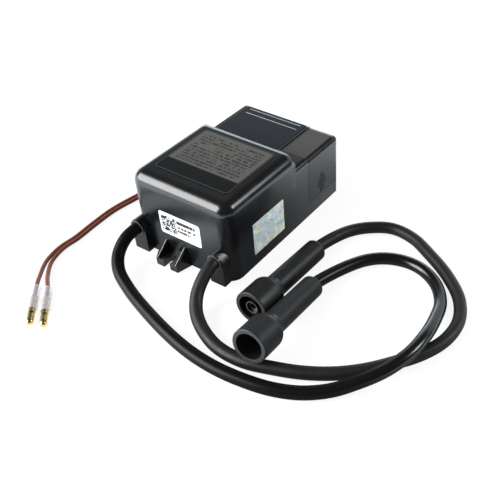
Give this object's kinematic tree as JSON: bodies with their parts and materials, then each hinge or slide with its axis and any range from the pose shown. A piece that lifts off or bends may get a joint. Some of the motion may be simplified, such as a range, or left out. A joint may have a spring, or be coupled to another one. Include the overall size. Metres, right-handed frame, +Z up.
{
  "type": "ignition transformer",
  "caption": "Black stepped case with a lift-off fuse cover, boot-ended high-voltage leads and a pair of supply leads.",
  "frame": {"origin": "centre of the case's footprint with its two feet, on the surface that it stands on", "axes": "+Z up; -Y is the end face that the high-voltage leads leave; +X is the side of the fuse cover"},
  "size_m": [0.2247, 0.1948, 0.0504],
  "materials": {
    "case_plastic": "glossy black moulded plastic with a fine wavy reflection",
    "base_plastic": "plain black moulded plastic",
    "cover_plastic": "glossy black moulded plastic",
    "potting_resin": "poured dark resin",
    "fuse_glass": "clear glass tube",
    "fuse_cap_metal": "nickel-plated caps",
    "clip_brass": "sprung brass strip",
    "rating_label_film": "satin grey printed film with a black band",
    "rear_label_film": "satin dark blue-grey film with two pale lines",
    "code_label_film": "white printed film with plain dark blocks",
    "seal_foil": "pale iridescent foil with a faint green and violet sheen",
    "boot_rubber": "moulded black rubber",
    "hv_lead_silicone": "black silicone insulation",
    "contact_metal": "plated metal socket",
    "supply_pvc": "brown insulation",
    "clear_sleeve": "clear soft plastic sleeve",
    "terminal_brass": "bright brass",
    "ferrite": "dark grey ferrite",
    "bobbin_nylon": "natural nylon",
    "enamelled_copper": "enamelled copper wire",
    "fine_copper": "fine enamelled copper wire",
    "board_laminate": "green glass-fibre laminate",
    "film_capacitor_case": "red cast case",
    "can_sleeve": "dark shrunk sleeve over a metal can",
    "device_plastic": "black moulded epoxy",
    "sink_aluminium": "extruded aluminium",
    "resistor_body": "pale blue lacquer",
    "terminal_block_plastic": "green moulded plastic"
  },
  "bodies": {
    "case": {"front_case": "case_plastic", "rear_case": "case_plastic", "lead_boss_left": "case_plastic", "lead_boss_right": "case_plastic", "front_foot": "case_plastic", "rear_foot": "case_plastic", "base_plate": "base_plastic", "potting_compound": "potting_resin", "fuse_glass": "fuse_glass", "fuse_cap_front": "fuse_cap_metal", "fuse_cap_rear": "fuse_cap_metal", "fuse_clip_front": "clip_brass", "fuse_clip_rear": "clip_brass", "rating_label": "rating_label_film", "rear_label": "rear_label_film", "code_label": "code_label_film", "side_seal": "seal_foil", "collar_left": "boot_rubber", "collar_right": "boot_rubber", "hv_lead_left": "hv_lead_silicone", "hv_lead_right": "hv_lead_silicone", "boot_left": "boot_rubber", "boot_right": "boot_rubber", "contact_left": "contact_metal", "contact_right": "contact_metal", "supply_grommet": "boot_rubber", "supply_lead_a": "supply_pvc", "supply_lead_b": "supply_pvc", "terminal_sleeve_a": "clear_sleeve", "terminal_sleeve_b": "clear_sleeve", "bullet_a": "terminal_brass", "bullet_b": "terminal_brass", "core_lower": "ferrite", "core_upper": "ferrite", "bobbin_left": "bobbin_nylon", "bobbin_right": "bobbin_nylon", "primary_winding_left": "enamelled_copper", "primary_winding_right": "enamelled_copper", "hv_winding_left": "fine_copper", "hv_winding_right": "fine_copper", "circuit_board": "board_laminate", "film_capacitor": "film_capacitor_case", "storage_capacitor": "can_sleeve", "switching_transistor": "device_plastic", "heat_sink": "sink_aluminium", "choke_spool": "ferrite", "choke_winding": "enamelled_copper", "resistors": "resistor_body", "control_chip": "device_plastic", "input_terminal": "terminal_block_plastic"},
    "cover": {"fuse_cover": "cover_plastic"}
  },
  "joints": [
    {"name": "cover_lift", "type": "slide", "parent": "case", "child": "cover", "axis": [0, 0, 1], "range_m": [0, 0.032]}
  ]
}
